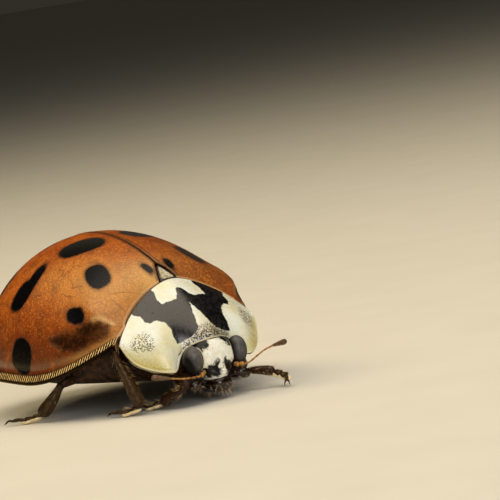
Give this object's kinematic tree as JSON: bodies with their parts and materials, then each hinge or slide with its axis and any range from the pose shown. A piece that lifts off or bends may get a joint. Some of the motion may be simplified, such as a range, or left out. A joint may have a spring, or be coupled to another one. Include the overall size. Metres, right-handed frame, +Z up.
{
  "type": "harlequin ladybird",
  "caption": "Life-size harlequin ladybird standing on level ground: domed orange shell with black spots, ivory shield with a black M mark, folded and outstretched feelers, and jointed legs.",
  "frame": {"origin": "on the ground, under the middle of the animal's footprint box", "axes": "+Z up, the head points along -Y, the animal's own left side is +X"},
  "size_m": [0.0066, 0.008, 0.004],
  "materials": {
    "wing_case": "glossy orange cuticle with black spots, finely punctured",
    "pronotum": "glossy ivory cuticle with a black M-shaped mark",
    "scutellum": "glossy dark brown cuticle",
    "head": "glossy ivory cuticle with black edges",
    "eye": "dark grey, finely faceted and glossy",
    "mouthparts": "dark brown, glossy, with pale bristles",
    "feeler": "translucent orange-brown cuticle",
    "breast_plate": "black cuticle with fine pale down",
    "abdomen": "black in the middle and reddish brown at the sides",
    "leg": "orange-brown cuticle with pale bristles"
  },
  "bodies": {
    "root": {"abdomen": "abdomen", "clypeus": "head", "coxa_front_left": "leg", "coxa_front_right": "leg", "coxa_hind_left": "leg", "coxa_hind_right": "leg", "coxa_middle_left": "leg", "coxa_middle_right": "leg", "eye_left": "eye", "eye_right": "eye", "feeler_base_left": "feeler", "feeler_base_right": "feeler", "feeler_club_left": "feeler", "feeler_club_right": "feeler", "feeler_stalk_left": "feeler", "feeler_stalk_right": "feeler", "femur_front_left": "leg", "femur_front_right": "leg", "femur_hind_left": "leg", "femur_hind_right": "leg", "femur_middle_left": "leg", "femur_middle_right": "leg", "head": "head", "labium": "mouthparts", "labrum": "mouthparts", "mandible_left": "mouthparts", "mandible_right": "mouthparts", "mesothorax": "breast_plate", "metathorax": "breast_plate", "palp_left": "mouthparts", "palp_right": "mouthparts", "pronotum": "pronotum", "prosternum": "breast_plate", "scutellum": "scutellum", "tarsus_front_left": "leg", "tarsus_front_right": "leg", "tarsus_hind_left": "leg", "tarsus_hind_right": "leg", "tarsus_middle_left": "leg", "tarsus_middle_right": "leg", "tibia_front_left": "leg", "tibia_front_right": "leg", "tibia_hind_left": "leg", "tibia_hind_right": "leg", "tibia_middle_left": "leg", "tibia_middle_right": "leg", "wing_case_left": "wing_case", "wing_case_right": "wing_case"}
  },
  "joints": []
}
